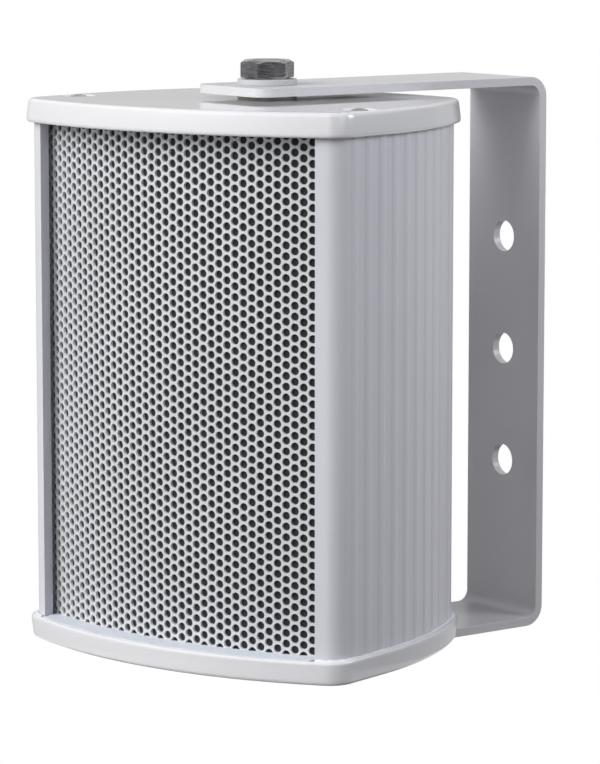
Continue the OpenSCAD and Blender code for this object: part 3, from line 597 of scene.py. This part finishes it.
def holeCell(s):
    # the sheet round one hole, its eight border corners shared with the cells beside it
    halfX, halfZ = s["pitch"] * sqrt(3) / 4, s["pitch"] / 2
    radius, soft, thick = s["hole"] / 2, s["soft"], s["sheet"]
    border = [(1, 0), (1, 1), (0, 1), (-1, 1), (-1, 0), (-1, -1), (0, -1), (1, -1)]
    turns = [2 * pi * k / s["sides"] for k in range(s["sides"])]
    work = bmesh.new()

    def row(spots, depth):
        return [work.verts.new((x * mm, depth * mm, z * mm)) for x, z in spots]

    def ring(r, depth):
        return row([(r * cos(a), r * sin(a)) for a in turns], depth)

    def fan(edge, circle, front):
        # joins the border to the circle by their angles
        angle = {v: atan2(v.co.z, v.co.x) % (2 * pi) for v in edge + circle}
        i = j = 0
        edge, circle = sorted(edge, key=angle.get), sorted(circle, key=angle.get)
        while i < len(edge) or j < len(circle):
            a, b = edge[i % len(edge)], circle[j % len(circle)]
            nextA = angle[edge[(i + 1) % len(edge)]] + (2 * pi if i + 1 >= len(edge) else 0)
            nextB = angle[circle[(j + 1) % len(circle)]] + (2 * pi if j + 1 >= len(circle) else 0)
            if j >= len(circle) or (i < len(edge) and nextA <= nextB):
                corners = (a, edge[(i + 1) % len(edge)], b)
                i += 1
            else:
                corners = (a, circle[(j + 1) % len(circle)], b)
                j += 1
            work.faces.new(corners if front else tuple(reversed(corners)))

    edges = [row([(x * halfX, z * halfZ) for x, z in border], depth) for depth in (0, thick)]
    rings = [ring(radius + soft, 0), ring(radius, soft), ring(radius, thick)]
    fan(edges[0], rings[0], True)
    fan(edges[1], rings[-1], False)
    for low, high in zip(rings, rings[1:]):
        for k in range(s["sides"]):
            n = (k + 1) % s["sides"]
            work.faces.new((low[k], high[k], high[n], low[n]))
    return work


def buildTree(name, sockets):
    tree = bpy.data.node_groups.new(name, "GeometryNodeTree")
    tree.interface.new_socket("Geometry", in_out="INPUT", socket_type="NodeSocketGeometry")
    for label, kind in sockets:
        tree.interface.new_socket(label, in_out="INPUT", socket_type="NodeSocket" + kind)
    tree.interface.new_socket("Geometry", in_out="OUTPUT", socket_type="NodeSocketGeometry")
    given = tree.nodes.new("NodeGroupInput")
    return tree, {s.name: Wire(tree, s) for s in given.outputs if s.name}


def runTree(piece, tree, result, values):
    out = tree.nodes.new("NodeGroupOutput")
    tree.links.new(result.socket, out.inputs[0])
    modifier = piece.modifiers.new(tree.name, "NODES")
    modifier.node_group = tree
    for item in tree.interface.items_tree:
        if item.in_out == "INPUT" and item.name in values:
            modifier[item.identifier] = values[item.name]
    return settle(piece)


def grilleMesh(s):
    tree, given = buildTree("perforatedSheet", [
        ("Columns", "Int"), ("Rows", "Int"), ("Column pitch", "Float"), ("Hole pitch", "Float"),
        ("Bow", "Float"), ("Thickness", "Float"), ("Side margin", "Float"), ("Sheet height", "Float"),
        ("Paint", "Material")])
    w = Wire(tree)
    columns, rows, margin = given["Columns"], given["Rows"], given["Side margin"]
    line = w.put("GeometryNodeMeshLine", {"mode": "OFFSET"}, {"Count": columns * rows, "Offset": (0, 0, 0)})
    index = w.put("GeometryNodeInputIndex")
    column = (index / rows).calc("FLOOR")
    row = index - column * rows
    fromMiddle = column - (columns - 1) * 0.5
    odd = fromMiddle.calc("ABSOLUTE").calc("MODULO", 2.0)
    z = (row - (rows - 1) * 0.5 + (1 - odd) * 0.5) * given["Hole pitch"]
    spot = w.put("ShaderNodeCombineXYZ", None, {"X": fromMiddle * given["Column pitch"], "Z": z})
    points = w.put("GeometryNodeSetPosition", None, {"Geometry": line, "Position": spot})
    # the even columns stand half a pitch higher and have one hole less
    spare = odd.calc("LESS_THAN", 0.5) * row.calc("GREATER_THAN", rows - 1.5)
    points = w.put("GeometryNodeDeleteGeometry", {"domain": "POINT"},
                   {"Geometry": points, "Selection": spare})
    holes = w.put("GeometryNodeInstanceOnPoints", None, {"Points": points, "Instance": given["Geometry"]})
    holes = w.put("GeometryNodeRealizeInstances", None, {"Geometry": holes})
    holes = w.put("GeometryNodeMergeByDistance", None, {"Geometry": holes, "Distance": s["merge"] * mm})

    def strip(width, height, parts, across, up):
        size = w.put("ShaderNodeCombineXYZ", None, {"X": width, "Y": given["Thickness"], "Z": height})
        block = w.put("GeometryNodeMeshCube", None, {"Size": size, "Vertices X": parts + 1})
        place = w.put("ShaderNodeCombineXYZ", None, {"X": across, "Y": given["Thickness"] * 0.5, "Z": up})
        return w.put("GeometryNodeTransform", None, {"Geometry": block, "Translation": place})

    # plain strips round the perforated field
    halfField = columns * given["Column pitch"] * 0.5
    fieldHeight = (rows - 1) * given["Hole pitch"]
    rest = (given["Sheet height"] - fieldHeight) * 0.5
    join = tree.nodes.new("GeometryNodeJoinGeometry")
    tree.links.new(holes.socket, join.inputs[0])
    for sign in (-1, 1):
        upright = strip(margin, fieldHeight, s["sideParts"], (halfField + margin * 0.5) * sign, 0.0)
        level = strip((halfField + margin) * 2, rest, s["endParts"], 0.0, (fieldHeight + rest) * 0.5 * sign)
        tree.links.new(upright.socket, join.inputs[0])
        tree.links.new(level.socket, join.inputs[0])
    # bows the flat sheet round its vertical axis
    x = w.put("ShaderNodeSeparateXYZ", None, {"Vector": w.put("GeometryNodeInputPosition")}, out="X")
    turn, radius = x / given["Bow"], given["Bow"] - x.beside("Y")
    bowed = w.put("ShaderNodeCombineXYZ", None, {
        "X": radius * turn.calc("SINE"), "Y": given["Bow"] - radius * turn.calc("COSINE"),
        "Z": x.beside("Z")})
    flat = Wire(tree, join.outputs[0])
    result = w.put("GeometryNodeSetPosition", None, {"Geometry": flat, "Position": bowed})
    result = w.put("GeometryNodeRealizeInstances", None, {"Geometry": result})
    result = w.put("GeometryNodeSetMaterial", None, {"Geometry": result, "Material": given["Paint"]})
    cell = temporary(holeCell(s), "holeCell")
    halfSheet = s["bow"] * asin((s["window"] / 2 + s["behindPost"]) / s["bow"])
    mesh = runTree(cell, tree, result, {
        "Columns": s["columns"], "Rows": s["rows"], "Column pitch": s["pitch"] * sqrt(3) / 2 * mm,
        "Hole pitch": s["pitch"] * mm, "Bow": s["bow"] * mm, "Thickness": s["sheet"] * mm,
        "Side margin": (halfSheet - s["columns"] * s["pitch"] * sqrt(3) / 4) * mm,
        "Sheet height": cabinet["height"] * mm, "Paint": materials["grille_paint"]})
    mesh.transform(toRow @ Matrix.Translation((0, s["back"] * mm, head["middle"] * mm)))
    return mesh


mesh = grilleMesh(grille)
print("grille made:", len(mesh.polygons), "faces")
addObject("perforatedGrille", mesh, "head", "grille_paint", ["front_grille"], sharp=60, flats=False)


# seals along the bottom cap

seal = dict(inset=1.3, lift=0.01, thick=0.15, gap=0.04, beadInset=1.95, beadIn=0.5, beadRadius=0.72,
            beadSpread=0.16, beadStep=0.9, beadSink=0.15, beadFlat=0.85, sides=8)
ledgeTop = head["bottom"] + cap["height"]


def footSealMesh(s):
    # the pale strip that lies on the bottom cap's ledge, between its rim and the grille
    edgeX, foldCentre = grille["window"] / 2 - cap["seatGap"], grille["back"] + grille["bow"]
    right = [p for p, n in halfOutline(s["inset"]) if p[0] < edgeX and p[1] < foldCentre / 2]
    strip = [(-x, y) for x, y in reversed(right[1:])] + right + bowArc(grille["bow"] + s["gap"], edgeX)[::-1]
    mesh = meshOf(prism(strip, ledgeTop + s["lift"], ledgeTop + s["thick"]), "footSeal")
    mesh.transform(toRow)
    return mesh


def beadMesh(s):
    # an uneven run of sealant in the gap between the cabinet's foot and the cap's rim
    path = halfOutline(s["beadInset"], s["beadStep"], grille["window"] / 2 + s["beadIn"])
    path += [((-x, y), (-nx, ny)) for (x, y), (nx, ny) in reversed(path[:-1])]
    turns = [2 * pi * j / s["sides"] for j in range(s["sides"])]
    work = bmesh.new()
    rings = []
    for k, ((x, y), (nx, ny)) in enumerate(path):
        # three waves that don't fall in step
        uneven = sin(k * 0.83) * sin(k * 0.37 + 1) + 0.6 * sin(k * 1.9 + 2)
        swell = s["beadRadius"] + s["beadSpread"] * uneven
        height = ledgeTop - s["beadSink"]
        rings.append([work.verts.new(((x + nx * swell * cos(a)) * mm, (y + ny * swell * cos(a)) * mm,
                                      (height + swell * s["beadFlat"] * sin(a)) * mm)) for a in turns])
    skinRings(work, rings)
    bmesh.ops.recalc_face_normals(work, faces=work.faces)
    mesh = meshOf(work, "bead")
    mesh.transform(toRow)
    return mesh


addObject("footSeal", footSealMesh(seal), "head", "pale_gasket", [])
addObject("sealantBead", beadMesh(seal), "head", "pale_gasket", [], "sealant", sharp=70, flats=False)
print("seals made")


# bracket and fixings

soft = dict(bracket=0.7, washer=0.3)
addObject("uBracket", softened("mounting_bracket", soft["bracket"]), "bracket", "white_paint",
          ["mounting_bracket"], sharp=30)

bolt = dict(flats=16, height=6.4, washerHeight=2, shankDiameter=10, shank=20, shankTip=1, shankPlay=0.04,
            shankInto=0.3, turn=19, edgeCut=0.14, slopeFrom=0.93, slope=30, armTop=97,
            # the points on each flat, in degrees from its middle
            parts=(-30, -28.3, -20, -10, 0, 10, 20, 28.3))


def boltMesh(s, up):
    half, high, shankRadius = s["flats"] / 2, s["height"], s["shankDiameter"] / 2
    angles = [radians(60 * k + part + s["turn"]) for k in range(6) for part in s["parts"]]

    def hexRadius(angle):
        local = ((angle - radians(s["turn"]) + pi / 6) % (pi / 3)) - pi / 6
        return min(half / cos(local), half / cos(pi / 6) - s["edgeCut"])

    def chamferTop(r):
        return min(high, high - (r - half * s["slopeFrom"]) * tan(radians(s["slope"])))

    def profile(r):
        # bearing face, flank, chamfer, top with its raised rim, as radius and height
        return [(half - 0.9, 0), (half - 0.45, 0), (half - 0.42, 0.4), (r - 0.35, 0.42), (r - 0.05, 0.6),
                (r, 0.9), (r, chamferTop(r) - 0.12), (r - 0.1, chamferTop(r)),
                (half * 0.97, chamferTop(half * 0.97)), (half * 0.93, high - 0.02), (half * 0.88, high),
                (half * 0.74, high), (half * 0.70, high - 0.25), (half * 0.3, high - 0.3)]

    work = bmesh.new()
    columns = [(a, profile(hexRadius(a))) for a in angles]
    skinRings(work, [[work.verts.new((column[j][0] * mm * cos(a), column[j][0] * mm * sin(a),
                                      (column[j][1] + s["washerHeight"]) * mm)) for a, column in columns]
                     for j in range(len(columns[0][1]))])
    shank = lathe([(0, -s["shank"]), (shankRadius - s["shankTip"], -s["shank"]),
                   (shankRadius - s["shankPlay"], s["shankTip"] - s["shank"]),
                   (shankRadius - s["shankPlay"], s["shankInto"]), (0, s["shankInto"])])
    shankMesh = meshOf(shank, "shank")
    shankMesh.transform(Matrix.Translation((0, 0, s["washerHeight"] * mm)))
    work.from_mesh(shankMesh)
    bpy.data.meshes.remove(shankMesh)
    mesh = meshOf(work, "boltMesh")
    mesh.transform(Matrix.Translation((0, head["pivotBack"] * mm, s["armTop"] * mm)))
    if not up:
        mesh.transform(Matrix.Diagonal((1, 1, -1, 1)))
        mesh.flip_normals()
    mesh.transform(toRow)
    return mesh


for side in ("top", "bottom"):
    addObject(side + "PivotBolt", boltMesh(bolt, side == "top"), "head", "stainless",
              [side + "_bolt"], sharp=20)
    addObject(side + "FlatWasher", softened(side + "_washer", soft["washer"]), "head", "pale_washer",
              [side + "_washer"])
print("bracket and bolts made")


# studio

def whiteForCamera(place, s):
    # white where the camera, a gloss or a clear ray sees it; on the object a soft light, mostly from below
    facing = place.put("ShaderNodeTexCoord", None, None, out="Generated")
    upward = place.put("ShaderNodeSeparateXYZ", None, {"Vector": facing}, out=2)
    fill = upward.between(*s["skyFrom"], s["below"], s["above"])
    camera = place.put("ShaderNodeLightPath", None, None, out="Is Camera Ray")
    seen = camera + camera.beside("Is Glossy Ray") + camera.beside("Is Transmission Ray")
    return seen.calc("MINIMUM", 1.0) * (1 - fill) + fill


studio = dict(below=0.2, above=0.04, skyFrom=(-0.4, 0.9), floorDrop=1.1, floorSize=1.5, floorGrey=0.4,
              floorGlow=0.75, floorSides=96, wallSides=48, wallRadius=2.6, wallLow=-1.1, wallHigh=1.3,
              wallWhiteFrom=0.7, wallDark=0.2, wallPale=0.58, wallTurn=-20, aim=(0, -0.11, 0),
              # name, place, size, power, colour and whether a gloss shows it
              lamps=[("keyPanel", (-0.15, -1.9, 1.3), (1.5, 1.5), 43, (1, 1, 1), False),
                     ("lowPanel", (-0.15, -2.15, 0.65), (1.5, 1.0), 13, (1, 1, 1), False),
                     ("fillPanel", (1.1, -1.3, 0.9), (0.5, 1.6), 2.9, (0.96, 0.97, 1), True),
                     ("sidePanel", (0.8, 0.0, 0.4), (0.4, 0.4), 0.8, (0.94, 0.95, 1), True),
                     ("rimPanel", (0.36, 0.26, 0.3), (0.25, 0.25), 1.2, (0.94, 0.95, 1), True),
                     ("backPanel", (-0.9, 1.7, 0.3), (1.0, 1.0), 9, (1, 1, 1), False)])

world = bpy.data.worlds.new("studioWorld")
bpy.context.scene.world = world
world.use_nodes = True
world.node_tree.nodes.clear()
w = Wire(world.node_tree)
backdrop = w.put("ShaderNodeBackground", None, {"Color": (1, 1, 1, 1), "Strength": whiteForCamera(w, studio)})
w.put("ShaderNodeOutputWorld", None, {"Surface": backdrop})

work = bmesh.new()
bmesh.ops.create_circle(work, cap_ends=True, segments=studio["floorSides"], radius=studio["floorSize"])
floorPiece = temporary(work, "studioFloor")
floorPiece.location = (0, 0, -studio["floorDrop"])
material, place = newMaterial("paleFloor")
diffuse = place.put("ShaderNodeBsdfDiffuse", None, {"Color": (*[studio["floorGrey"]] * 3, 1)})
glow = place.put("ShaderNodeEmission", None, {"Color": (1, 1, 1, 1), "Strength": 1.0})
rays = place.put("ShaderNodeLightPath", None, None, out="Is Camera Ray")
mixed = place.put("ShaderNodeMixShader", None, {0: rays * studio["floorGlow"], 1: diffuse, 2: glow})
place.put("ShaderNodeOutputMaterial", None, {"Surface": mixed})
floorPiece.data.materials.append(material)

# grey studio walls, seen only in the gloss of the caps and the bolts, darker on the camera's side
work = bmesh.new()
turns = [2 * pi * k / studio["wallSides"] for k in range(studio["wallSides"])]
reach = studio["wallRadius"]
skinRings(work, [[work.verts.new((reach * cos(a), reach * sin(a), z)) for a in turns]
                 for z in (studio["wallHigh"], studio["wallLow"])], closed=False)
walls = temporary(work, "studioWalls")
material, place = newMaterial("greyWalls")
turn = (0, 0, radians(-studio["wallTurn"]))
turned = place.put("ShaderNodeMapping", None, {"Vector": place, "Rotation": turn})
along = turned.put("ShaderNodeSeparateXYZ", None, {"Vector": turned})
height = place.put("ShaderNodeSeparateXYZ", None, {"Vector": place}, out="Z")
grey = along.between(-reach, reach, studio["wallPale"], studio["wallDark"])
high = height.between(studio["wallWhiteFrom"], studio["wallHigh"])
glow = place.put("ShaderNodeEmission", None, {"Color": (1, 1, 1, 1), "Strength": grey * (1 - high) + high})
place.put("ShaderNodeOutputMaterial", None, {"Surface": glow})
walls.data.materials.append(material)
walls.visible_camera = walls.visible_diffuse = walls.visible_shadow = False

for name, spot, size, power, colour, inGloss in studio["lamps"]:
    light = bpy.data.lights.new(name, "AREA")
    light.shape, light.size, light.size_y, light.energy, light.color = "RECTANGLE", *size, power, colour
    lamp = bpy.data.objects.new(name, light)
    lamp.location = spot
    aim = Vector(studio["aim"]) - Vector(spot)
    lamp.rotation_euler = aim.to_track_quat("-Z", "Y").to_euler()
    lamp.visible_camera = False
    lamp.visible_glossy = inGloss
    bpy.context.scene.collection.objects.link(lamp)

lens = dict(focal=173.0625, sensor=36, clip=(0.05, 50), azimuth=52.88978, pitch=7.964084,
            spot=(0.98784, -0.84064, 0.168663))
camera = bpy.data.objects.new("camera", bpy.data.cameras.new("camera"))
bpy.context.scene.collection.objects.link(camera)
camera.data.lens, camera.data.sensor_width = lens["focal"], lens["sensor"]
camera.data.clip_start, camera.data.clip_end = lens["clip"]
camera.location = lens["spot"]
camera.rotation_euler = (radians(90 - lens["pitch"]), 0, radians(lens["azimuth"]))
bpy.context.scene.camera = camera
bpy.context.scene.view_settings.view_transform = "Standard"
print("studio ready")
